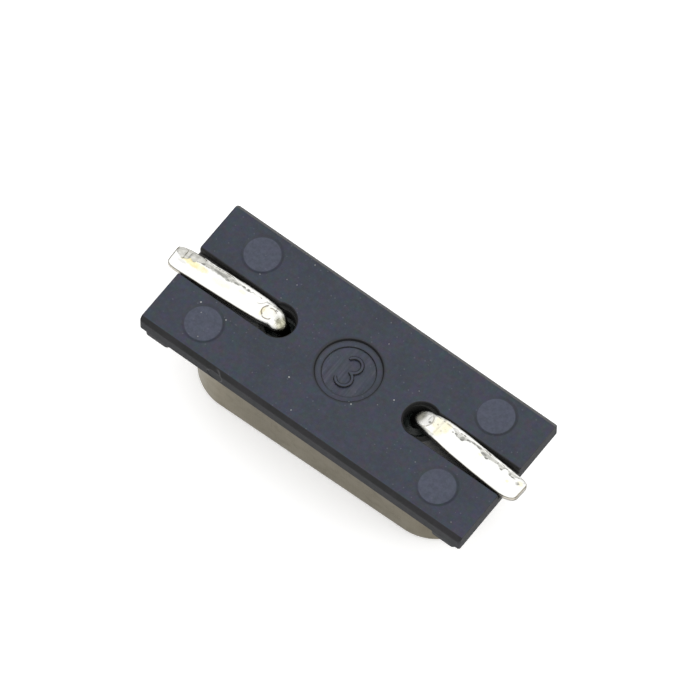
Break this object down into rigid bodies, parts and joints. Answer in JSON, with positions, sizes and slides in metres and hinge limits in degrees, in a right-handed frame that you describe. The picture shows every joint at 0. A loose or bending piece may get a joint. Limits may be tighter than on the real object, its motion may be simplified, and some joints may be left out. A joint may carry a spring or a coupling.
{
  "type": "surface mount quartz crystal",
  "caption": "Surface mount quartz crystal: low oval metal can on a grooved insulator plate, with a flattened lead bent outward in the groove at each end.",
  "frame": {"origin": "on the ground under the middle of the insulator plate, with the crown of the can down", "axes": "+X along the long side of the plate, +Z from the crown of the can to the solder side of the leads"},
  "size_m": [0.0128, 0.0048, 0.004],
  "materials": {
    "insulator": "fine satin moulded surface, blue-black, with faint mottling",
    "can": "satin drawn sheet, warm grey, faint draw lines",
    "header": "nickel plated, satin",
    "lead_tin": "tinned, satin, scuffed and lightly stained",
    "seal_glass": "dark fused glass bead",
    "clip": "nickel silver strip, satin",
    "quartz": "lapped quartz, slightly frosted",
    "electrode_film": "vapour deposited silver, satin",
    "adhesive": "cured silver-filled adhesive, matt"
  },
  "bodies": {
    "root": {"insulator_plate": "insulator", "can_cover": "can", "header_base": "header", "glass_seal_left": "seal_glass", "glass_seal_right": "seal_glass", "lead_left": "lead_tin", "lead_right": "lead_tin", "support_clip_left": "clip", "support_clip_right": "clip", "quartz_blank": "quartz", "electrode_upper": "electrode_film", "electrode_lower": "electrode_film", "adhesive_left": "adhesive", "adhesive_right": "adhesive"}
  },
  "joints": []
}
